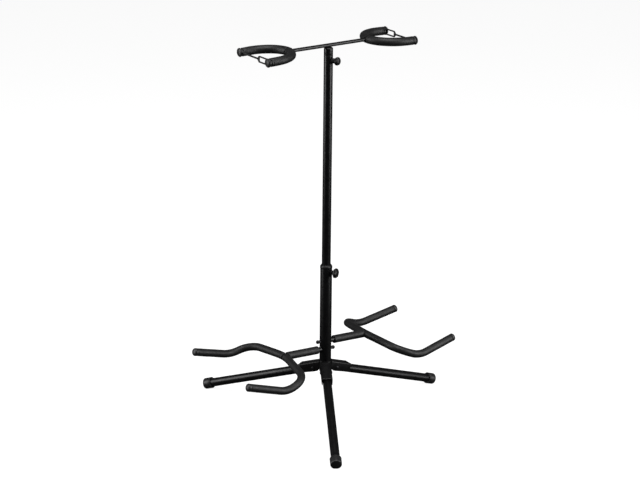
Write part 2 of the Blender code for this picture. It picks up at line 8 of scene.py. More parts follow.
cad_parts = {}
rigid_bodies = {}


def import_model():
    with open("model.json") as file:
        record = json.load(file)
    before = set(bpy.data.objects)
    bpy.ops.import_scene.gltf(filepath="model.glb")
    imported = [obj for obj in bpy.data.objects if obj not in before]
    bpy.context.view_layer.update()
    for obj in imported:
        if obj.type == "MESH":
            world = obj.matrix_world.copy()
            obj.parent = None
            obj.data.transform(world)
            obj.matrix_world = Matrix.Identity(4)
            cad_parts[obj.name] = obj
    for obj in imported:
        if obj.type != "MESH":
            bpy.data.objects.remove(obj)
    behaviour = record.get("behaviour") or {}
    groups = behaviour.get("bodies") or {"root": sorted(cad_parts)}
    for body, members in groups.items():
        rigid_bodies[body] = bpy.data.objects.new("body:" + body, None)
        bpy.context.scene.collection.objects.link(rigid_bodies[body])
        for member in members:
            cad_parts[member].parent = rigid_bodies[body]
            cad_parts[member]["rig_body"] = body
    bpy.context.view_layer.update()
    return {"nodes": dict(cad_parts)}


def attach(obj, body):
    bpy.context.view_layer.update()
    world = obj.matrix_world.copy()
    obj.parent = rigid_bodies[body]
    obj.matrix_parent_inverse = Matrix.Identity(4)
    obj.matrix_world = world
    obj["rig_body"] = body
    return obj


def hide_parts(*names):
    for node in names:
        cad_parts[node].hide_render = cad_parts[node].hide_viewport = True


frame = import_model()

# ---------------------------------------------------------------- sizes in metres, from the post's axis
GAP = 0.0003                     # clearance between pieces that touch
POST_AXIS_X = -0.0150            # the frame's origin is the middle of the footprint
TO_FRAME = Matrix.Translation((POST_AXIS_X, 0.0, 0.0))

POST_R = 0.0127                  # 1 in lower tube
POST_WALL = 0.0014
POST_BOTTOM = 0.0985
POST_TOP = 0.3317
MAST_R = 0.009525                # 3/4 in mast
MAST_WALL = 0.0012
MAST_BOTTOM = 0.2367
MAST_TOP = 0.7964

LEG_R = 0.0095                   # 3/4 in leg tubes
LEG_WALL = 0.0012
LEG_AZIMUTHS = {"right": 0.0, "left": 120.0, "front": -120.0}
LEG_SLOPE = 18.7                 # below horizontal when open
PIVOT_RADIUS = 0.024
PIVOT_HEIGHT = 0.1013
LEG_REACH = 0.2957               # foot's outer end to post axis
LEG_LENGTH = (LEG_REACH - PIVOT_RADIUS) / cos(radians(LEG_SLOPE))
HUB_R = 0.0142
HUB_BOTTOM = 0.100
HUB_TOP = 0.121
BRACKET_PLATE = 0.0016
BRACKET_SIDE_PLAY = 0.0004
BRACKET_REACH = 0.0575           # bracket's outer end to post axis
WEB_CLEARANCE = 0.0020           # between the open leg and the bracket's web
RIVET_R = 0.0029
RIVET_HEAD_R = 0.0040
RIVET_HEAD = 0.0015              # height of its dome
FOOT_R = 0.0122
FOOT_LENGTH = 0.0190
FOOT_SOLE = 0.0050               # rubber beyond the end of the tube
FOOT_GROOVE = 0.0009

HUB_PLUG_R = 0.0124
COLLAR_R = 0.0131
COLLAR_TOP = 0.3400
COLLAR_SKIRT = 0.0200            # how far the collar reaches down into the post

# each cradle: turn about the post, height of its stem in the post, fall of the stem outwards, roll about it
CRADLES = {"right": (0.0, 0.1653, 2.65, 0.0), "left": (180.0, 0.1472, -2.70, -1.9)}
STEM_R = 0.0055
STEM_PLAY = 0.0004
STEM_SHOULDER = -0.0093          # where the stem steps down to its stud, inside the post
STUD_R = 0.0025
STUD_END = -0.0190
STEM_FOAM_R = 0.0087
STEM_FOAM_START = 0.0205
CRADLE_ROD_R = 0.005
CRADLE_FOAM_R = 0.0084
CRADLE_CAP_R = 0.0085
CRADLE_CAP_SEAT = 0.0045         # depth of a rod in its cap
CRADLE_CAP_WALL = 0.0040         # straight part of the cap, below its dome
CRADLE_CAP_DOME = 0.0047
FORK_BACK = 0.1036               # where the two halves of a fork meet, out along its stem
# corner, knee and tip of half a fork: (out, to the side), and the drop below the stem's line
FORK_HALF = (((0.1219, 0.1045), 0.0082), ((0.1706, 0.1122), 0.0251), ((0.2645, 0.1055), 0.0014))
FORK_BENDS = (0.0600, 0.0420, 0.12, 0.0420, 0.0600)
FORK_SEAM = 0.0012               # half the gap between a fork's two sleeves
NUT_NECK_R = 0.0034
NUT_BALL_R = 0.0042
NUT_BALL_Z = 0.0070              # middle of the ball above the post's surface

YOKE_ROD_R = 0.0039
YOKE_FOAM_R = 0.0090
YOKE_HALF = ((0.0995, 0.0), (0.1123, 0.0319), (0.1422, 0.0497), (0.1818, 0.0524))
YOKE_TIP_DROP = 0.0024           # tips below the crossbar's line
YOKE_SEAM = 0.0008               # half the gap between a yoke's two sleeves
YOKE_NOTCH_PLAY = 0.0011         # between the crossbar and the sleeves' notch for it
STEM_HEAD = 0.0158               # height of the T-bar's head above the mast
STEM_HEAD_TOP = MAST_TOP + GAP + STEM_HEAD
SPIGOT_PLAY = 0.000325
SPIGOT_R = MAST_R - MAST_WALL - SPIGOT_PLAY
SPIGOT_LENGTH = 0.090
CROSSBAR_Z = STEM_HEAD_TOP + GAP + YOKE_ROD_R
CAP_FLANGE = 0.0024
CAP_NECK = 0.0042
CAP_DOME = 0.0050
YOKE_CAP_SEAT = CAP_FLANGE + CAP_NECK + 0.0008
CAP_R = 0.0094                   # head of a yoke's cap
CAP_DOME_START = 0.0012          # above the cap's neck
NECK_R = 0.0052                  # groove in a yoke's cap
STRAP_THICKNESS = 0.003
STRAP_STRAND = 0.0026
STRAP_LOOP = 0.034               # length of the loop that unhooks

CLAMP_AZIMUTH = -60.0            # side of the post that both knobs face
SCREW_R = 0.003
SCREW_PLAY = 0.0005
HEIGHT_KNOB_Z = 0.3232
YOKE_KNOB_Z = 0.785


# ---------------------------------------------------------------- materials
NOISE_LOW = 0.3                  # noise values that stand for a look's two ends
NOISE_HIGH = 0.7


class Look:
    """One procedural material and the record's slot that it belongs to."""

    def __init__(self, slot, colour, specular, metallic=0.0, sheen=0.0):
        self.slot = slot
        self.material = bpy.data.materials.new("look_" + slot)
        self.material.use_nodes = True
        self.nodes = self.material.node_tree.nodes
        self.links = self.material.node_tree.links
        self.shader = self.nodes["Principled BSDF"]
        self.coords = self.nodes.new("ShaderNodeTexCoord")
        self.shader.inputs["Metallic"].default_value = metallic
        self.shader.inputs["Sheen Weight"].default_value = sheen
        self.shader.inputs["Sheen Roughness"].default_value = 0.5
        self.shader.inputs["Specular IOR Level"].default_value = specular
        self.material.diffuse_color = (*colour, 1.0)
        self.colour = colour
        self.height = None

    def noise(self, scale, detail):
        texture = self.nodes.new("ShaderNodeTexNoise")
        texture.inputs["Scale"].default_value = scale
        texture.inputs["Detail"].default_value = detail
        self.links.new(self.coords.outputs["Object"], texture.inputs["Vector"])
        return texture.outputs["Fac"]

    def cells(self, scale):
        texture = self.nodes.new("ShaderNodeTexVoronoi")
        texture.inputs["Scale"].default_value = scale
        self.links.new(self.coords.outputs["Object"], texture.inputs["Vector"])
        return texture.outputs["Distance"]

    def gloss(self, source, low, high):
        """Roughness that wanders between low and high."""
        ramp = self.nodes.new("ShaderNodeMapRange")
        ramp.inputs["From Min"].default_value = NOISE_LOW
        ramp.inputs["From Max"].default_value = NOISE_HIGH
        ramp.inputs["To Min"].default_value = low
        ramp.inputs["To Max"].default_value = high
        self.links.new(source, ramp.inputs["Value"])
        self.links.new(ramp.outputs["Result"], self.shader.inputs["Roughness"])

    def mottle(self, source, dark, light):
        """Base colour that wanders between two shares of the look's colour."""
        ramp = self.nodes.new("ShaderNodeValToRGB")
        for element, place, share in zip(ramp.color_ramp.elements, (NOISE_LOW, NOISE_HIGH), (dark, light)):
            element.position = place
            element.color = (*[c * share for c in self.colour], 1.0)
        self.links.new(source, ramp.inputs["Fac"])
        self.links.new(ramp.outputs["Color"], self.shader.inputs["Base Color"])

    def bump(self, source, strength, distance):
        node = self.nodes.new("ShaderNodeBump")
        node.inputs["Strength"].default_value = strength
        node.inputs["Distance"].default_value = distance
        self.links.new(source, node.inputs["Height"])
        if self.height is not None:
            self.links.new(self.height, node.inputs["Normal"])
        self.height = node.outputs["Normal"]
        self.links.new(self.height, self.shader.inputs["Normal"])


def powder_coat():
    look = Look("powder_coated_steel", (0.0022, 0.0022, 0.0025), specular=0.40)
    look.mottle(look.noise(45.0, 4.0), 0.75, 1.45)
    look.gloss(look.noise(160.0, 3.0), 0.27, 0.40)
    look.bump(look.noise(620.0, 1.5), 0.22, 0.00010)
    look.bump(look.noise(2600.0, 1.0), 0.12, 0.00004)
    return look


def foam():
    look = Look("foam_rubber", (0.0042, 0.0042, 0.0045), specular=0.50, sheen=0.02)
    look.mottle(look.noise(70.0, 5.0), 0.72, 1.4)
    look.gloss(look.noise(240.0, 3.0), 0.44, 0.58)
    look.bump(look.noise(110.0, 3.0), 0.25, 0.0004)
    look.bump(look.cells(1500.0), 0.34, 0.00016)
    return look


def rubber():
    look = Look("black_rubber", (0.0105, 0.0105, 0.0110), specular=0.50, sheen=0.03)
    look.mottle(look.noise(90.0, 4.0), 0.75, 1.35)
    look.gloss(look.noise(300.0, 3.0), 0.34, 0.48)
    look.bump(look.noise(900.0, 2.0), 0.25, 0.00010)
    return look


def moulded_plastic():
    look = Look("black_plastic", (0.0035, 0.0035, 0.0038), specular=0.40)
    look.mottle(look.noise(80.0, 3.0), 0.8, 1.3)
    look.gloss(look.noise(400.0, 3.0), 0.34, 0.48)
    look.bump(look.cells(1100.0), 0.16, 0.00010)
    return look


def screw_steel():
    look = Look("black_screw_steel", (0.030, 0.030, 0.032), specular=0.5, metallic=0.85)
    look.mottle(look.noise(350.0, 4.0), 0.6, 1.5)
    look.gloss(look.noise(500.0, 3.0), 0.28, 0.45)
    look.bump(look.noise(1400.0, 2.0), 0.2, 0.00006)
    return look


LOOKS = {}
for made in (powder_coat(), foam(), rubber(), moulded_plastic(), screw_steel()):
    LOOKS[made.slot] = made
STEEL = LOOKS["powder_coated_steel"]
FOAM = LOOKS["foam_rubber"]
RUBBER = LOOKS["black_rubber"]
PLASTIC = LOOKS["black_plastic"]
SCREW_STEEL = LOOKS["black_screw_steel"]


# ---------------------------------------------------------------- placing helpers
NEARLY_UPRIGHT = 0.99            # cosine of the angle to Z


def along(place, direction):
    """Matrix with its local +Z along direction and its local +Y near up, or near X for an upright one."""
    z = Vector(direction).normalized()
    guide = Vector((0.0, 0.0, 1.0))
    if abs(z.dot(guide)) > NEARLY_UPRIGHT:
        guide = Vector((1.0, 0.0, 0.0))
    x = guide.cross(z).normalized()
    y = z.cross(x)
    return Matrix.Translation(Vector(place)) @ Matrix((x, y, z)).transposed().to_4x4()


def outward(azimuth):
    """Level unit vector away from the post's axis."""
    return Vector((cos(radians(azimuth)), sin(radians(azimuth)), 0.0))


def piece(node, bm, look, matrix=Matrix.Identity(4), sharp=40.0):
    """A finer mesh that stands for one CAD node, on that node's body."""
    bm.transform(TO_FRAME @ matrix)
    bmesh.ops.recalc_face_normals(bm, faces=bm.faces)
    if bm.calc_volume(signed=True) < 0.0:
        bmesh.ops.reverse_faces(bm, faces=bm.faces)
    mesh = bpy.data.meshes.new(node + "_piece")
    bm.to_mesh(mesh)
    bm.free()
    mesh.shade_smooth()
    mesh.set_sharp_from_angle(angle=radians(sharp))
    mesh.materials.append(look.material)
    obj = bpy.data.objects.new(node + "_piece", mesh)
    bpy.context.scene.collection.objects.link(obj)
    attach(obj, frame["nodes"][node]["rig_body"])
    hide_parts(node)
    return obj


SLIVER = 4e-6                    # edges shorter than this are dissolved after a cut


def carved(bm, cutter, matrix):
    """The solid bm with the solid cutter, placed by matrix, taken away."""
    cutter.transform(matrix)
    bmesh.ops.recalc_face_normals(bm, faces=bm.faces)
    bmesh.ops.recalc_face_normals(cutter, faces=cutter.faces)
    objects = []
    for name, solid in (("carved_solid", bm), ("carving_tool", cutter)):
        mesh = bpy.data.meshes.new(name)
        solid.to_mesh(mesh)
        solid.free()
        obj = bpy.data.objects.new(name, mesh)
        bpy.context.scene.collection.objects.link(obj)
        objects.append(obj)
    modifier = objects[0].modifiers.new("carve", 'BOOLEAN')
    modifier.operation = 'DIFFERENCE'
    modifier.solver = 'EXACT'
    modifier.object = objects[1]
    bpy.context.view_layer.update()
    depsgraph = bpy.context.evaluated_depsgraph_get()
    result = bpy.data.meshes.new_from_object(objects[0].evaluated_get(depsgraph))
    made = bmesh.new()
    made.from_mesh(result)
    bmesh.ops.dissolve_degenerate(made, dist=SLIVER, edges=made.edges)
    for obj in objects:
        bpy.data.objects.remove(obj)
    bpy.data.meshes.remove(result)
    return made


# ---------------------------------------------------------------- shapes
def skin(rings, closed):
    """Join rings of points into a solid: closed on itself, or with a flat face over each end ring."""
    bm = bmesh.new()
    rows = [[bm.verts.new(point) for point in ring] for ring in rings]
    count = len(rows[0])
    pairs = list(zip(rows, rows[1:]))
    if closed:
        pairs.append((rows[-1], rows[0]))
    for lower, upper in pairs:
        for i in range(count):
            j = (i + 1) % count
            bm.faces.new((lower[i], lower[j], upper[j], upper[i]))
    if not closed:
        bm.faces.new(rows[0])
        bm.faces.new(rows[-1])
    return bm


NEARLY_STRAIGHT = 168.0          # corners flatter than this are left as they are
EDGE_SHARE = 0.45                # most of an edge that one rounded corner may take
CORNER_STEPS = 3


def softened(profile, radius, closed):
    """Round the corners of a 2-D profile."""
    count = len(profile)
    points = []
    for i, (x, y) in enumerate(profile):
        here = Vector((x, y))
        if not closed and i in (0, count - 1):
            points.append((x, y))
            continue
        before = Vector(profile[i - 1])
        after = Vector(profile[(i + 1) % count])
        back = before - here
        ahead = after - here
        if back.angle(ahead) > radians(NEARLY_STRAIGHT):
            points.append((x, y))
            continue
        reach = min(radius, EDGE_SHARE * back.length, EDGE_SHARE * ahead.length)
        start = here + back.normalized() * reach
        end = here + ahead.normalized() * reach
        for k in range(CORNER_STEPS + 1):
            t = k / CORNER_STEPS
            point = start * (1 - t) ** 2 + here * 2 * t * (1 - t) + end * t ** 2
            points.append((point.x, point.y))
    return points


LOBE_RISE = 0.0012               # how far out from lobe_from the grip lobes reach their full depth


def turned(profile, sides, closed, soft=0.0004, lobes=0, lobe_depth=0.0, lobe_from=0.0):
    """Turn a profile of (radius, height) points about Z, with grip lobes outside the radius lobe_from."""
    rings = []
    for radius, height in softened(profile, soft, closed):
        ring = []
        swell = 0.0
        if lobes:
            swell = lobe_depth * min(1.0, max(0.0, (radius - lobe_from) / LOBE_RISE))
        for i in range(sides):
            angle = 2 * pi * i / sides
            grown = radius * (1.0 + swell * cos(lobes * angle))
            ring.append((grown * cos(angle), grown * sin(angle), height))
        rings.append(ring)
    return skin(rings, closed)


def rod(radius, low, high, sides):
    """Round bar along Z."""
    return skin([[(radius * cos(2 * pi * i / sides), radius * sin(2 * pi * i / sides), z)
                  for i in range(sides)] for z in (low, high)], closed=False)


def prism(outline, low, high):
    """An outline in the (x, y) plane, drawn up from low to high."""
    return skin([[(x, y, low) for x, y in outline], [(x, y, high) for x, y in outline]], closed=False)


SAME_POINT = 1e-6
SHARP_EDGE = 40.0                # angle between its two faces, in degrees


def rounded_edges(bm, width):
    """Round the sharp edges of a mesh."""
    bmesh.ops.remove_doubles(bm, verts=bm.verts, dist=SAME_POINT)
    bmesh.ops.recalc_face_normals(bm, faces=bm.faces)
    sharp = [e for e in bm.edges if len(e.link_faces) == 2 and e.calc_face_angle(0.0) > radians(SHARP_EDGE)]
    bmesh.ops.bevel(bm, geom=sharp, offset=width, segments=3, profile=0.5, affect='EDGES',
                    clamp_overlap=True)
    return bm


def arc(centre, radius, start, end, steps):
    """Points round a 2-D centre, from the angle start to the angle end in degrees."""
    angles = [radians(start + (end - start) * i / steps) for i in range(steps + 1)]
    return [(centre[0] + radius * cos(a), centre[1] + radius * sin(a)) for a in angles]


def rounded_path(corners, radii, steps):
    """Round the inner corners of a 3-D polyline with arcs of the given radii."""
    points = [Vector(corners[0])]
    for before, corner, after, radius in zip(corners, corners[1:], corners[2:], radii):
        corner = Vector(corner)
        back = (Vector(before) - corner).normalized()
        ahead = (Vector(after) - corner).normalized()
        opening = acos(back.dot(ahead))
        reach = radius / tan(opening / 2)
        centre = corner + (back + ahead).normalized() * (radius / sin(opening / 2))
        start = corner + back * reach - centre
        end = corner + ahead * reach - centre
        sweep = start.angle(end)
        for i in range(steps + 1):
            t = i / steps
            mix = (start * sin((1 - t) * sweep) + end * sin(t * sweep)) / sin(sweep)
            points.append(centre + mix)
    points.append(Vector(corners[-1]))
    return points


def smooth_path(points, steps):
    """A smooth curve through the points, with steps to each stretch."""
    points = [Vector(p) for p in points]
    padded = [2 * points[0] - points[1], *points, 2 * points[-1] - points[-2]]
    curve = []
    for a, b, c, d in zip(padded, padded[1:], padded[2:], padded[3:]):
        for i in range(steps):
            t = i / steps
            curve.append(0.5 * (2 * b + (c - a) * t + (2 * a - 5 * b + 4 * c - d) * t ** 2
                                + (3 * b - a - 3 * c + d) * t ** 3))
    curve.append(points[-1])
    return curve


def path_length(path):
    return sum((b - a).length for a, b in zip(path, path[1:]))


def point_at(path, distance):
    run = 0.0
    for a, b in zip(path, path[1:]):
        step = (b - a).length
        if run + step >= distance:
            return a.lerp(b, (distance - run) / step)
        run += step
    return path[-1].copy()


def stations(path, start, end, step):
    """Points at even distances along a path, from start to end."""
    count = max(2, ceil((end - start) / step))
    return [point_at(path, start + (end - start) * i / count) for i in range(count + 1)]


def swept_rings(path, radii, sides, shape=None):
    """Circles along a path, carried without twist; shape(point, direction, i) is added to a radius."""
    rings = []
    count = len(path)
    tangents = [(path[min(i + 1, count - 1)] - path[max(i - 1, 0)]).normalized() for i in range(count)]
    side = tangents[0].cross(Vector((0.0, 0.0, 1.0))).normalized()
    for i, (point, tangent, radius) in enumerate(zip(path, tangents, radii)):
        side = (side - tangent * side.dot(tangent)).normalized()
        other = tangent.cross(side)
        ring = []
        for k in range(sides):
            angle = 2 * pi * k / sides
            direction = side * cos(angle) + other * sin(angle)
            grown = radius
            if shape:
                grown += shape(point + direction * radius, direction, i)
            ring.append(point + grown * direction)
        rings.append(ring)
    return rings


# ---------------------------------------------------------------- paths that several pieces share
def cradle_path():
    """Centre line of one cradle fork in its stem's frame, from its -Y tip round the back to its +Y tip."""
    def half(side):
        return [(place[0], side * place[1], -drop) for place, drop in FORK_HALF]
    corners = half(-1)[::-1] + [(FORK_BACK, 0.0, 0.0)] + half(1)
    return rounded_path(corners, FORK_BENDS, steps=18)


def yoke_path():
    """Centre line of one yoke, from its -Y tip round the back to its +Y tip."""
    reach = YOKE_HALF[-1][0] - YOKE_HALF[0][0]
    half = [(x, y, CROSSBAR_Z - YOKE_TIP_DROP * (x - YOKE_HALF[0][0]) / reach) for x, y in YOKE_HALF]
    return smooth_path([(x, -y, z) for x, y, z in half[:0:-1]] + half, steps=14)


def cradle_frame(side):
    """Frame on the post's axis with local +X out along a cradle's stem."""
    turn, height, fall, roll = CRADLES[side]
    lift = Matrix.Translation((0.0, 0.0, height)) @ Matrix.Rotation(radians(turn), 4, 'Z')
    return lift @ Matrix.Rotation(radians(fall), 4, 'Y') @ Matrix.Rotation(radians(roll), 4, 'X')


def leg_frame(azimuth):
    """Frame at a leg's pivot: local +Z runs out along the open leg, local +Y is across it, upwards."""
    out = outward(azimuth)
    slope = radians(LEG_SLOPE)
    direction = out * cos(slope) - Vector((0, 0, sin(slope)))
    return along(out * PIVOT_RADIUS + Vector((0, 0, PIVOT_HEIGHT)), direction)


# ---------------------------------------------------------------- foam
FOAM_STEP = 0.0016
FOAM_SIDES = 40
FOAM_EDGE = 0.0009               # rounding at a sleeve's cut ends
FOAM_END_SHARE = 0.85            # part of that rounding that the end face keeps
FOAM_WAVE = 0.00016              # slow unevenness of the sleeve's wall
WAVE_RATE = 55                   # noise steps per metre
FOAM_GRAIN = 0.00005             # quick unevenness
GRAIN_RATE = 210
FOAM_RIPPLE = 0.00020            # creases inside a bend
RIPPLE_PITCH = 0.0052
RIPPLE_WANDER = 1.7              # how far the wave pushes the creases along the sleeve
RIPPLE_LEVEL = 0.6               # creases cut in by this much more than they swell out
TIGHT_BEND = 24.0                # curvature, per metre, at which creases are full
STEM_WAVE_RATE = 60              # noise steps per metre
STEM_FOAM_ROWS = 60
SADDLE_LIP = 0.0045              # least distance from the fork's centre line to the stem sleeve's end


def foam_sleeve(path, start, end, radius, bore, seed):
    """Sleeve along part of a path: rounded ends, an uneven wall, and faint creases inside its bends."""
    points = stations(path, start, end, FOAM_STEP)
    step = (end - start) / (len(points) - 1)
    count = len(points)
    turns = []
    for i in range(count):
        a, b, c = points[max(i - 2, 0)], points[i], points[min(i + 2, count - 1)]
        turns.append((a + c - 2 * b) / (2 * step) ** 2)

    def wall(point, direction, i):
        wave = noise.noise(Vector((point.x * WAVE_RATE + seed, point.y * WAVE_RATE, point.z * WAVE_RATE)))
        fine = noise.noise(Vector((point.x * GRAIN_RATE, point.y * GRAIN_RATE + seed, point.z * GRAIN_RATE)))
        inside = max(0.0, direction.dot(turns[i])) / TIGHT_BEND
        crease = sin(2 * pi * i * step / RIPPLE_PITCH + RIPPLE_WANDER * wave) - RIPPLE_LEVEL
        return FOAM_WAVE * wave + FOAM_GRAIN * fine + FOAM_RIPPLE * min(inside, 1.0) * crease

    lengths = [step * i for i in range(count)]
    radii = []
    for s in lengths:
        near = min(s, lengths[-1] - s)
        dip = 0.0
        if near < FOAM_EDGE:
            dip = FOAM_EDGE - sqrt(max(0.0, FOAM_EDGE ** 2 - (FOAM_EDGE - near) ** 2))
        radii.append(radius - min(dip, FOAM_EDGE * FOAM_END_SHARE))
    outside = swept_rings(points, radii, FOAM_SIDES, wall)
    inside = swept_rings(points, [bore] * count, FOAM_SIDES)
    return skin(outside + inside[::-1], closed=True)


def stem_foam(back_x, seed):
    """Straight sleeve whose outer end is shaped to the round of the fork's sleeve."""
    saddle = CRADLE_FOAM_R + GAP

    def end_x(radius, angle):
        z = radius * sin(angle)
        return min(back_x - SADDLE_LIP, back_x - sqrt(max(0.0, saddle ** 2 - z ** 2)))

    def ring(radius, share, uneven):
        """Ring at a share of the sleeve's length, which differs round the sleeve."""
        points = []
        for k in range(FOAM_SIDES):
            angle = 2 * pi * k / FOAM_SIDES
            x = STEM_FOAM_START + (end_x(radius, angle) - STEM_FOAM_START) * share
            grown = radius
            if uneven:
                grown += FOAM_WAVE * noise.noise(Vector((x * STEM_WAVE_RATE + seed, cos(angle), sin(angle))))
            points.append((x, grown * cos(angle), grown * sin(angle)))
        return points

    edge_end = 0.012                 # share of the length where the rounded edge ends
    wall_length = 0.978
    rounded_edge = ((0.0, 0.0008), (0.002, 0.0004), (0.006, 0.00015), (edge_end, 0.0))
    rows = [ring(STEM_FOAM_R - dip, share, False) for share, dip in rounded_edge]
    rows += [ring(STEM_FOAM_R - 0.0001, edge_end + wall_length * i / STEM_FOAM_ROWS, True)
             for i in range(1, STEM_FOAM_ROWS)]
    rows += [ring(STEM_FOAM_R - 0.0002, 0.995, False), ring(STEM_FOAM_R - 0.0005, 1.0, False)]
    bore = STEM_R + GAP
    rows += [ring(bore, 1.0 - i / STEM_FOAM_ROWS, False) for i in range(STEM_FOAM_ROWS + 1)]
    return skin(rows, closed=True)


# ---------------------------------------------------------------- cradles
def ball_nut():
    """Ball-ended nut that stands on z = 0, with a blind bore for the stud."""
    bore = STUD_R + GAP
    bore_depth = 0.0065
    ball = [(NUT_BALL_R * cos(radians(a)), NUT_BALL_Z + NUT_BALL_R * sin(radians(a)))
            for a in range(-36, 85, 8)]
    profile = [(bore, bore_depth), (bore, 0.0), (NUT_NECK_R, 0.0), *ball]
    return turned(profile, 40, closed=False, soft=0.0002)


def cradle_cap():
    """Domed cap that stands on z = 0, with a blind bore for the fork's end."""
    bore = CRADLE_ROD_R + GAP
    dome = [(CRADLE_CAP_R * cos(radians(a)), CRADLE_CAP_WALL + CRADLE_CAP_DOME * sin(radians(a)))
            for a in range(10, 86, 9)]
    profile = [(bore, CRADLE_CAP_SEAT + GAP), (bore, 0.0), (CRADLE_CAP_R - 0.0003, 0.0),
               (CRADLE_CAP_R, 0.0006), (CRADLE_CAP_R, CRADLE_CAP_WALL), *dome]
    return turned(profile, 48, closed=False, soft=0.0003)


def build_cradle(side, seed):
    frame_of_stem = cradle_frame(side)
    path = cradle_path()
    total = path_length(path)
    middle = total / 2
    back = point_at(path, middle)
    stem_axis = along((0, 0, 0), (1, 0, 0))

    sleeve = piece("cradle_stem_foam_" + side, stem_foam(back.x, seed), FOAM, frame_of_stem)
    rod_points = stations(path, 0.0, total, 0.004)
    fork = skin(swept_rings(rod_points, [CRADLE_ROD_R] * len(rod_points), 24), closed=False)
    piece("cradle_fork_" + side, fork, STEEL, frame_of_stem)
    profile = [(STUD_R, STUD_END), (STUD_R, STEM_SHOULDER), (STEM_R, STEM_SHOULDER),
               (STEM_R, back.x - 0.0020)]
    stem = turned(profile, 40, closed=False, soft=0.0002)
    stem.transform(stem_axis)
    stem = carved(stem, rod(CRADLE_ROD_R + GAP, -0.02, 0.02, 48), along(back, (0, 1, 0)))
    piece("cradle_stem_" + side, stem, STEEL, frame_of_stem)
    nut_seat = frame_of_stem @ along((-POST_R - GAP, 0, 0), (-1, 0, 0))
    piece("cradle_nut_" + side, ball_nut(), SCREW_STEEL, nut_seat)

    for end, start, finish, tip in (("a", CRADLE_CAP_SEAT + GAP, middle - FORK_SEAM, 0.0),
                                    ("b", middle + FORK_SEAM, total - CRADLE_CAP_SEAT - GAP, total)):
        bm = foam_sleeve(path, start, finish, CRADLE_FOAM_R, CRADLE_ROD_R + GAP, seed)
        notch = rod(STEM_R + 0.0006, 0.05, back.x - 0.002, 32)
        bm = carved(bm, notch, stem_axis)
        sleeve = piece("cradle_foam_" + side + "_" + end, bm, FOAM, frame_of_stem)
        tip_point = point_at(path, tip)
        inner_point = point_at(path, abs(tip - 0.02))
        direction = (tip_point - inner_point).normalized()
        place = frame_of_stem @ along(tip_point - direction * CRADLE_CAP_SEAT, direction)
        piece("cradle_cap_" + side + "_" + end, cradle_cap(), RUBBER, place)


# ---------------------------------------------------------------- yokes
def yoke_cap():
    """Button that stands on z = 0: a flange, the groove that a strap sits in, and a domed head."""
    bore = YOKE_ROD_R + GAP
    neck_end = CAP_FLANGE + CAP_NECK
    dome_start = neck_end + CAP_DOME_START
    top = neck_end + CAP_DOME
    dome = []
    for i in range(1, 9):
        angle = radians(88.0 * i / 8)
        dome.append((CAP_R * cos(angle) ** 0.8, dome_start + (top - neck_end - CAP_DOME_START) * sin(angle)))
    profile = [(bore, dome_start), (bore, 0.0), (YOKE_FOAM_R, 0.0), (YOKE_FOAM_R, CAP_FLANGE - 0.0003),
               (YOKE_FOAM_R - 0.0006, CAP_FLANGE), (NECK_R, CAP_FLANGE), (NECK_R, neck_end),
               (CAP_R - 0.0007, neck_end), (CAP_R, neck_end + 0.0008), *dome]
    return turned(profile, 48, closed=False, soft=0.0003)


def strap(half_span):
    """Rubber strap in the (x, y) plane: a ring at -half_span, a strand, and a long loop round +half_span."""
    hole = NECK_R + GAP
    outer = NECK_R + GAP + STRAP_STRAND
    bar = 0.0016                         # half width of the single strand
    nip = degrees(asin(bar / outer))     # where the strand meets the ring
    strand_end = half_span - STRAP_LOOP - outer
    shoulder = strand_end + 0.0035       # where the loop has its full width
    narrow = 0.0068                      # half width of the loop where it has left the cap
    waist = half_span - 0.0095           # where the loop starts to close in on the cap
    corner = 0.0024
    outline = arc((-half_span, 0.0), outer, nip, 360 - nip, 40)
    outline += [(strand_end, -bar)]
    outline += arc((shoulder + corner, -narrow + corner), corner, 200, 270, 8)
    outline += [(waist, -narrow)]
    outline += arc((half_span, 0.0), outer, -100, 100, 32)
    outline += [(waist, narrow)]
    outline += arc((shoulder + corner, narrow - corner), corner, 90, 160, 8)
    outline += [(strand_end, bar)]
    inner = narrow - STRAP_STRAND
    slot_corner = 0.0012
    slot_start = shoulder + STRAP_STRAND + slot_corner
    slot = arc((half_span, 0.0), hole, -105, 105, 28)
    slot += [(waist, inner)]
    slot += arc((slot_start, inner - slot_corner), slot_corner, 90, 180, 6)
    slot += arc((slot_start, -inner + slot_corner), slot_corner, 180, 270, 6)
    slot += [(waist, -inner)]
    ring_hole = arc((-half_span, 0.0), hole, 0, 350, 35)
    bm = prism(outline, -STRAP_THICKNESS / 2, STRAP_THICKNESS / 2)
    for opening in (ring_hole, slot):
        bm = carved(bm, prism(opening, -0.01, 0.01), Matrix.Identity(4))
    return bm


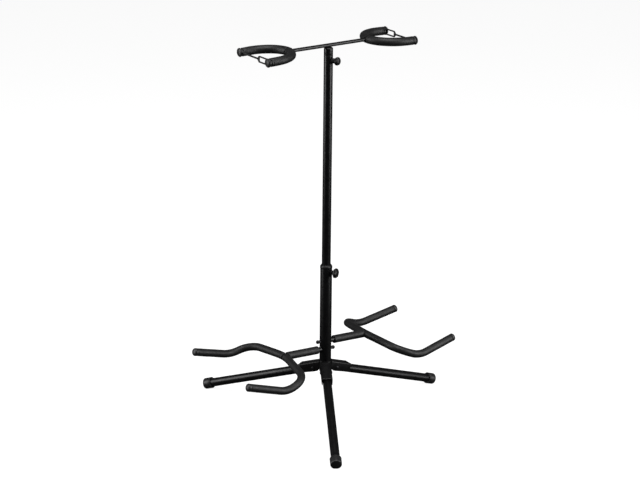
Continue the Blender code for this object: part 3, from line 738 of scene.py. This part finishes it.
def build_yoke(side, turn, seed):
    frame_of_yoke = Matrix.Rotation(radians(turn), 4, 'Z')
    path = yoke_path()
    total = path_length(path)
    middle = total / 2
    rod_points = stations(path, 0.0, total, 0.003)
    fork = skin(swept_rings(rod_points, [YOKE_ROD_R] * len(rod_points), 24), closed=False)
    piece("yoke_fork_" + side, fork, STEEL, frame_of_yoke)
    for end, start, finish, tip in (("a", YOKE_CAP_SEAT + GAP, middle - YOKE_SEAM, 0.0),
                                    ("b", middle + YOKE_SEAM, total - YOKE_CAP_SEAT - GAP, total)):
        bm = foam_sleeve(path, start, finish, YOKE_FOAM_R, YOKE_ROD_R + GAP, seed)
        notch = rod(YOKE_ROD_R + YOKE_NOTCH_PLAY, 0.05, point_at(path, middle).x - 0.002, 32)
        bm = carved(bm, notch, along((0, 0, CROSSBAR_Z), (1, 0, 0)))
        sleeve = piece("yoke_foam_" + side + "_" + end, bm, FOAM, frame_of_yoke)
        tip_point = point_at(path, tip)
        inner_point = point_at(path, abs(tip - 0.010))
        direction = (tip_point - inner_point).normalized()
        place = frame_of_yoke @ along(tip_point - direction * YOKE_CAP_SEAT, direction)
        piece("yoke_cap_" + side + "_" + end, yoke_cap(), RUBBER, place)
    tip_point = path[-1]
    neck_x = tip_point.x - YOKE_CAP_SEAT + CAP_FLANGE + CAP_NECK / 2
    flat = Matrix(((0, 0, 1, neck_x), (1, 0, 0, 0), (0, 1, 0, tip_point.z), (0, 0, 0, 1)))
    bm = rounded_edges(strap(tip_point.y - 0.0002), 0.0006)
    piece("yoke_strap_" + side, bm, RUBBER, frame_of_yoke @ flat)


def build_t_bar():
    """The T-bar: a hollow stem that slides in the mast, and the crossbar on its head."""
    shoulder = MAST_TOP + GAP
    stem_inner = SPIGOT_R - 0.0012
    stem_end = MAST_TOP - SPIGOT_LENGTH
    profile = [(stem_inner, STEM_HEAD_TOP - 0.006), (stem_inner, stem_end),
               (SPIGOT_R, stem_end), (SPIGOT_R, shoulder), (MAST_R, shoulder),
               (MAST_R, STEM_HEAD_TOP - 0.0026), (MAST_R - 0.0006, STEM_HEAD_TOP - 0.0010),
               (MAST_R - 0.0022, STEM_HEAD_TOP)]
    piece("yoke_stem", turned(profile, 64, closed=False, soft=0.0006), STEEL)
    path = yoke_path()
    reach = point_at(path, path_length(path) / 2).x - YOKE_ROD_R - GAP
    weld_r = YOKE_ROD_R + 0.0007
    half = [(weld_r, reach), (weld_r, reach - 0.0004), (YOKE_ROD_R + 0.0002, reach - 0.0018),
            (YOKE_ROD_R, reach - 0.0030), (YOKE_ROD_R, 0.0)]
    profile = [(r, -z) for r, z in half] + half[-2::-1]
    piece("yoke_crossbar", turned(profile, 32, closed=False, soft=0.0008), STEEL,
          along((0, 0, CROSSBAR_Z), (1, 0, 0)))


# ---------------------------------------------------------------- base
def channel(end):
    """Inverted channel bent from plate: local +X along the leg, +Y up across it, +Z to its side."""
    half_gap = LEG_R + BRACKET_SIDE_PLAY
    half_width = half_gap + BRACKET_PLATE
    web_under = LEG_R + WEB_CLEARANCE
    web_top = web_under + BRACKET_PLATE
    inner_bend = 0.0008
    outer_bend = inner_bend + BRACKET_PLATE
    lip = BRACKET_PLATE / 2
    inner_end = -0.018
    cheek_at_hub = -0.001                # the cheeks' lower edge along the bracket
    cheek_fall = 0.007
    cheek_at_pivot = -0.0080
    cheek_rise = 0.0018
    cheek_at_end = -0.0062
    end_bend = 0.0020

    def section(x, low, drop):
        """Outline of the bent plate at x; low is the cheeks' lower edge and drop lowers the web."""
        middle = (half_gap + half_width) / 2
        right = [(low + lip - lip * cos(radians(a)), middle - lip * sin(radians(a)))
                 for a in (-90, -60, -30, 0, 30, 60, 90)]
        rise = web_under - inner_bend - drop
        inner = [(rise + inner_bend * sin(radians(a)), half_gap - inner_bend + inner_bend * cos(radians(a)))
                 for a in range(0, 91, 18)]
        outer = [(web_top - drop - outer_bend + outer_bend * sin(radians(a)),
                  half_width - outer_bend + outer_bend * cos(radians(a))) for a in range(90, -1, -15)]
        right += inner                   # inside of one half of the channel, from its lower edge up
        loop = right + [(y, -z) for y, z in right[::-1]]
        loop += [(y, -z) for y, z in outer[::-1]] + outer
        return [(x, y, z) for y, z in loop]

    rows = []
    for i in range(13):
        low = cheek_at_hub - cheek_fall * sin(pi / 2 * min(1.0, i / 8))
        rows.append(section(inner_end - inner_end * i / 12, low, 0.0))
    for i in range(1, 21):
        t = i / 20
        rows.append(section((end - end_bend) * t, cheek_at_pivot + cheek_rise * t, 0.0))
    for i in range(1, 9):
        angle = radians(90.0 * i / 8)
        turn = 1 - cos(angle)
        x = end - end_bend + end_bend * sin(angle)
        rows.append(section(x, cheek_at_end + end_bend * turn, 0.0004 * turn))
    return skin(rows, closed=False)


def build_bracket(side, azimuth):
    to_side = leg_frame(azimuth) @ Matrix.Rotation(radians(-90), 4, 'Y')
    end = (BRACKET_REACH - PIVOT_RADIUS) / cos(radians(LEG_SLOPE))
    bm = carved(channel(end), rod(HUB_R + GAP, 0.05, 0.15, 64), to_side.inverted())
    bm = carved(bm, rod(RIVET_R + GAP, -0.02, 0.02, 32), Matrix.Identity(4))
    piece("leg_bracket_" + side, bm, STEEL, to_side, sharp=30.0)

    under_head = LEG_R + BRACKET_SIDE_PLAY + BRACKET_PLATE + GAP
    half = [(RIVET_R, under_head), (RIVET_HEAD_R, under_head)]
    half += [(RIVET_HEAD_R * cos(radians(a)), under_head + 0.0004 + RIVET_HEAD * sin(radians(a)))
             for a in range(0, 86, 12)]
    profile = [(r, -z) for r, z in half[::-1]] + half
    piece("leg_rivet_" + side, turned(profile, 32, closed=False, soft=0.0002), SCREW_STEEL, to_side)


def build_foot(side, azimuth):
    """Rubber cup on a leg's end: a bead, a groove, and a flat cut level with the floor."""
    start = LEG_LENGTH - FOOT_LENGTH
    bore = LEG_R + GAP
    bead_r = FOOT_R + 0.0002
    groove_r = FOOT_R - FOOT_GROOVE
    profile = [(bore, LEG_LENGTH - FOOT_SOLE), (bore, start), (bead_r, start), (bead_r, start + 0.0022),
               (groove_r, start + 0.0025), (groove_r, start + 0.0033), (FOOT_R, start + 0.0037),
               (FOOT_R, LEG_LENGTH - 0.0026), (FOOT_R - 0.0008, LEG_LENGTH - 0.0008),
               (FOOT_R - 0.0026, LEG_LENGTH)]
    bm = turned(profile, 64, closed=False, soft=0.0007)
    bm.transform(leg_frame(azimuth))
    geometry = list(bm.verts) + list(bm.edges) + list(bm.faces)
    sliced = bmesh.ops.bisect_plane(bm, geom=geometry, plane_co=(0, 0, 0), plane_no=(0, 0, -1),
                                    clear_outer=True)
    rim = [item for item in sliced["geom_cut"] if isinstance(item, bmesh.types.BMEdge)]
    bmesh.ops.edgeloop_fill(bm, edges=rim)
    piece("leg_foot_" + side, bm, RUBBER)


def leg_tube_mesh(length):
    """A tube whose inner end is rounded about the pivot, so that it turns clear of the hub and the web."""
    sides = 64
    rings = []
    for radius in (LEG_R, LEG_R - LEG_WALL):
        circle = [(radius * cos(2 * pi * i / sides), radius * sin(2 * pi * i / sides)) for i in range(sides)]
        near = [(x, y, -sqrt(LEG_R ** 2 - y ** 2)) for x, y in circle]
        far = [(x, y, length) for x, y in circle]
        rings += [near, far] if radius == LEG_R else [far, near]
    return skin(rings, closed=True)


def build_leg_tube(side, azimuth):
    across = Matrix.Rotation(radians(-90), 4, 'Y')
    rivet_hole = rod(RIVET_R + GAP, -0.02, 0.02, 32)
    bm = carved(leg_tube_mesh(LEG_LENGTH - FOOT_SOLE - GAP), rivet_hole, across)
    piece("leg_tube_" + side, bm, STEEL, leg_frame(azimuth))


def build_tubes():
    """Post, mast and glide, with the holes that the stems and screws pass through."""
    inner = POST_R - POST_WALL
    post = turned([(POST_R, POST_BOTTOM), (POST_R, POST_TOP), (inner, POST_TOP), (inner, POST_BOTTOM)],
                  64, closed=True, soft=0.0003)
    for side in CRADLES:
        stem_axis = cradle_frame(side) @ along((0, 0, 0), (1, 0, 0))
        post = carved(post, rod(STEM_R + STEM_PLAY, 0.0, 0.02, 32), stem_axis)
        post = carved(post, rod(STUD_R + GAP, -0.02, 0.0, 24), stem_axis)
    screw_axis = along((0, 0, HEIGHT_KNOB_Z), outward(CLAMP_AZIMUTH))
    post = carved(post, rod(SCREW_R + SCREW_PLAY, 0.005, 0.02, 24), screw_axis)
    piece("lower_tube", post, STEEL)

    inner = MAST_R - MAST_WALL
    mast = turned([(MAST_R, MAST_BOTTOM), (MAST_R, MAST_TOP), (inner, MAST_TOP), (inner, MAST_BOTTOM)],
                  64, closed=True, soft=0.0003)
    screw_axis = along((0, 0, YOKE_KNOB_Z), outward(CLAMP_AZIMUTH))
    mast = carved(mast, rod(SCREW_R + SCREW_PLAY, 0.004, 0.02, 24), screw_axis)
    piece("mast_tube", mast, STEEL)

    seat = MAST_BOTTOM - GAP
    guide_r = POST_R - POST_WALL - GAP
    profile = [(guide_r - 0.0008, seat - 0.0062), (guide_r, seat - 0.0052), (guide_r, seat),
               (inner - GAP, seat), (inner - GAP, seat + 0.010)]
    piece("mast_glide", turned(profile, 48, closed=False, soft=0.0003), PLASTIC)


def threaded(outer, low, high, tube_r, height):
    """Ring round a clamp screw, from low to high along it, its near end shaped to a tube of radius tube_r."""
    bore = SCREW_R + GAP
    ring = turned([(outer, low), (outer, high), (bore, high), (bore, low)], 48, closed=True, soft=0.0005)
    ring.transform(along((0, 0, height), outward(CLAMP_AZIMUTH)))
    return carved(ring, rod(tube_r + GAP, -0.05, 0.05, 64), Matrix.Translation((0, 0, height)))


def build_base():
    """What is fixed to the post: hub, plug, collar and the two rings that the clamp screws turn in."""
    hub_bore = POST_R + GAP
    profile = [(hub_bore, HUB_BOTTOM), (HUB_R, HUB_BOTTOM), (HUB_R, HUB_TOP), (hub_bore, HUB_TOP)]
    piece("hub_sleeve", turned(profile, 64, closed=True, soft=0.0006), STEEL)

    inner = POST_R - POST_WALL
    seat = POST_BOTTOM - GAP
    profile = [(HUB_PLUG_R - 0.0018, seat - 0.0032), (HUB_PLUG_R, seat - 0.0022), (HUB_PLUG_R, seat),
               (inner - GAP, seat), (inner - 0.0006, POST_BOTTOM + 0.010)]
    piece("bottom_plug", turned(profile, 48, closed=False), PLASTIC)

    bore = MAST_R + GAP
    sleeve_r = inner - GAP
    seat = POST_TOP + GAP
    skirt = seat - COLLAR_SKIRT
    profile = [(bore, COLLAR_TOP), (bore + 0.0009, COLLAR_TOP), (COLLAR_R, COLLAR_TOP - 0.0034),
               (COLLAR_R, seat), (sleeve_r, seat), (sleeve_r, skirt), (bore, skirt)]
    collar = turned(profile, 64, closed=True, soft=0.0005)
    screw_axis = along((0, 0, HEIGHT_KNOB_Z), outward(CLAMP_AZIMUTH))
    collar = carved(collar, rod(SCREW_R + SCREW_PLAY, 0.005, 0.02, 24), screw_axis)
    piece("tube_collar", collar, PLASTIC)
    nut = threaded(outer=0.0050, low=0.0100, high=0.0146, tube_r=POST_R, height=HEIGHT_KNOB_Z)
    piece("height_knob_nut", nut, SCREW_STEEL)
    boss = threaded(outer=0.0054, low=0.0060, high=0.0142, tube_r=MAST_R, height=YOKE_KNOB_Z)
    piece("yoke_knob_boss", boss, STEEL)


# ---------------------------------------------------------------- knobs
def build_knobs():
    """Both clamp screws with their heads; distances run outwards from the post's axis."""
    bore = SCREW_R + GAP
    axis = along((0, 0, HEIGHT_KNOB_Z), outward(CLAMP_AZIMUTH))
    piece("height_knob_screw", rod(SCREW_R, MAST_R + GAP, 0.0248, 32), SCREW_STEEL, axis)
    profile = [(bore, 0.0251), (bore, 0.0172), (0.0056, 0.0172), (0.0062, 0.0184), (0.0092, 0.0190),
               (0.0101, 0.0202), (0.0101, 0.0240), (0.0092, 0.0258), (0.0064, 0.0270), (0.0030, 0.0274)]
    head = turned(profile, 96, closed=False, soft=0.0006, lobes=6, lobe_depth=0.06, lobe_from=0.0066)
    piece("height_knob_head", head, PLASTIC, axis)

    axis = along((0, 0, YOKE_KNOB_Z), outward(CLAMP_AZIMUTH))
    piece("yoke_knob_screw", rod(SCREW_R, SPIGOT_R + GAP, 0.0216, 32), SCREW_STEEL, axis)
    profile = [(bore, 0.0219), (bore, 0.0147), (0.0058, 0.0147), (0.0066, 0.0162), (0.0078, 0.0174),
               (0.0085, 0.0190), (0.0085, 0.0218), (0.0077, 0.0241), (0.0054, 0.0258), (0.0025, 0.0264)]
    head = turned(profile, 96, closed=False, soft=0.0006, lobes=6, lobe_depth=0.05, lobe_from=0.0068)
    piece("yoke_knob_head", head, PLASTIC, axis)


# ---------------------------------------------------------------- surroundings
CAMERA_AZIMUTH = -124.79         # of the camera's place, seen from the post
CAMERA_DISTANCE = 4.135          # level distance from the post
CAMERA_HEIGHT = 1.810
CAMERA_PITCH = 18.9              # downwards
CAMERA_YAW = 0.19                # away from the post
CAMERA_ROLL = 0.53
CAMERA_LENS = 116.15             # in millimetres


def build_camera():
    azimuth = radians(CAMERA_AZIMUTH)
    place = Vector((POST_AXIS_X, 0.0, CAMERA_HEIGHT)) + CAMERA_DISTANCE * outward(CAMERA_AZIMUTH)
    heading = azimuth + pi + radians(CAMERA_YAW)
    pitch = radians(CAMERA_PITCH)
    forward = Vector((cos(heading) * cos(pitch), sin(heading) * cos(pitch), -sin(pitch)))
    right = Vector((sin(heading), -cos(heading), 0.0))
    up = right.cross(forward)
    roll = radians(CAMERA_ROLL)
    rolled_right = cos(roll) * right + sin(roll) * up
    rolled_up = -sin(roll) * right + cos(roll) * up
    camera = bpy.data.cameras.new("camera")
    camera.sensor_width = 36.0
    camera.lens = CAMERA_LENS
    camera.clip_start = 0.05
    camera.clip_end = 100.0
    obj = bpy.data.objects.new("camera", camera)
    bpy.context.scene.collection.objects.link(obj)
    turn = Matrix((rolled_right, rolled_up, -forward)).transposed().to_4x4()
    obj.matrix_world = Matrix.Translation(place) @ turn
    bpy.context.scene.camera = obj


FLOOR_SHADE = 0.32               # what the camera sees, on top of the glow
FLOOR_BOUNCE = 0.05              # what lights the stand from below
FLOOR_GLOW = 0.90
FLOOR_HALF = 20.0
WORLD_SEEN = 0.93
WORLD_LIGHT = 0.06


def seen_or_lit(nodes, links, seen, lit):
    """A grey value that is seen for camera rays and lit for all the others."""
    path = nodes.new("ShaderNodeLightPath")
    mix = nodes.new("ShaderNodeMapRange")
    mix.inputs["To Min"].default_value = lit
    mix.inputs["To Max"].default_value = seen
    links.new(path.outputs["Is Camera Ray"], mix.inputs["Value"])
    return mix.outputs["Result"]


def build_floor():
    bm = bmesh.new()
    bmesh.ops.create_grid(bm, x_segments=24, y_segments=24, size=FLOOR_HALF)
    mesh = bpy.data.meshes.new("floor")
    bm.to_mesh(mesh)
    bm.free()
    paint = bpy.data.materials.new("floor_paint")
    paint.use_nodes = True
    nodes = paint.node_tree.nodes
    links = paint.node_tree.links
    shader = nodes["Principled BSDF"]
    shader.inputs["Roughness"].default_value = 0.9
    shader.inputs["Specular IOR Level"].default_value = 0.1
    shader.inputs["Emission Color"].default_value = (1.0, 1.0, 1.0, 1.0)
    links.new(seen_or_lit(nodes, links, FLOOR_SHADE, FLOOR_BOUNCE), shader.inputs["Base Color"])
    links.new(seen_or_lit(nodes, links, FLOOR_GLOW, 0.0), shader.inputs["Emission Strength"])
    mesh.materials.append(paint)
    obj = bpy.data.objects.new("floor", mesh)
    bpy.context.scene.collection.objects.link(obj)


LIGHT_TARGET = Vector((0.0, 0.0, 0.4))


def area_light(name, azimuth, distance, height, size, power):
    """A soft box that faces the stand; azimuth is measured from the camera's side of it."""
    lamp = bpy.data.lights.new(name, 'AREA')
    lamp.shape = 'RECTANGLE'
    lamp.size = size[0]
    lamp.size_y = size[1]
    lamp.energy = power
    obj = bpy.data.objects.new(name, lamp)
    bpy.context.scene.collection.objects.link(obj)
    place = distance * outward(CAMERA_AZIMUTH + azimuth) + Vector((0.0, 0.0, height))
    turn = (place - LIGHT_TARGET).to_track_quat('Z', 'Y').to_matrix().to_4x4()
    obj.matrix_world = Matrix.Translation(place) @ turn


def build_light():
    world = bpy.data.worlds.new("studio")
    world.use_nodes = True
    nodes = world.node_tree.nodes
    links = world.node_tree.links
    background = nodes["Background"]
    background.inputs["Color"].default_value = (1.0, 1.0, 1.0, 1.0)
    links.new(seen_or_lit(nodes, links, WORLD_SEEN, WORLD_LIGHT), background.inputs["Strength"])
    bpy.context.scene.world = world
    area_light("left_soft_box", azimuth=-78.0, distance=2.4, height=1.0, size=(1.0, 2.4), power=40.0)
    area_light("right_soft_box", azimuth=72.0, distance=2.4, height=1.0, size=(1.0, 2.4), power=46.0)
    area_light("top_soft_box", azimuth=10.0, distance=0.9, height=3.2, size=(2.0, 2.0), power=60.0)
    bpy.context.scene.view_settings.view_transform = 'Standard'


# ---------------------------------------------------------------- assembly
build_camera()
build_base()
build_tubes()
for side, azimuth in LEG_AZIMUTHS.items():
    build_bracket(side, azimuth)
    build_foot(side, azimuth)
    build_leg_tube(side, azimuth)
for number, side in enumerate(CRADLES):
    build_cradle(side, 3.0 + 5.0 * number)
for number, (side, turn) in enumerate((("right", 0.0), ("left", 180.0))):
    build_yoke(side, turn, 17.0 + 5.0 * number)
build_t_bar()
build_knobs()
build_floor()
build_light()
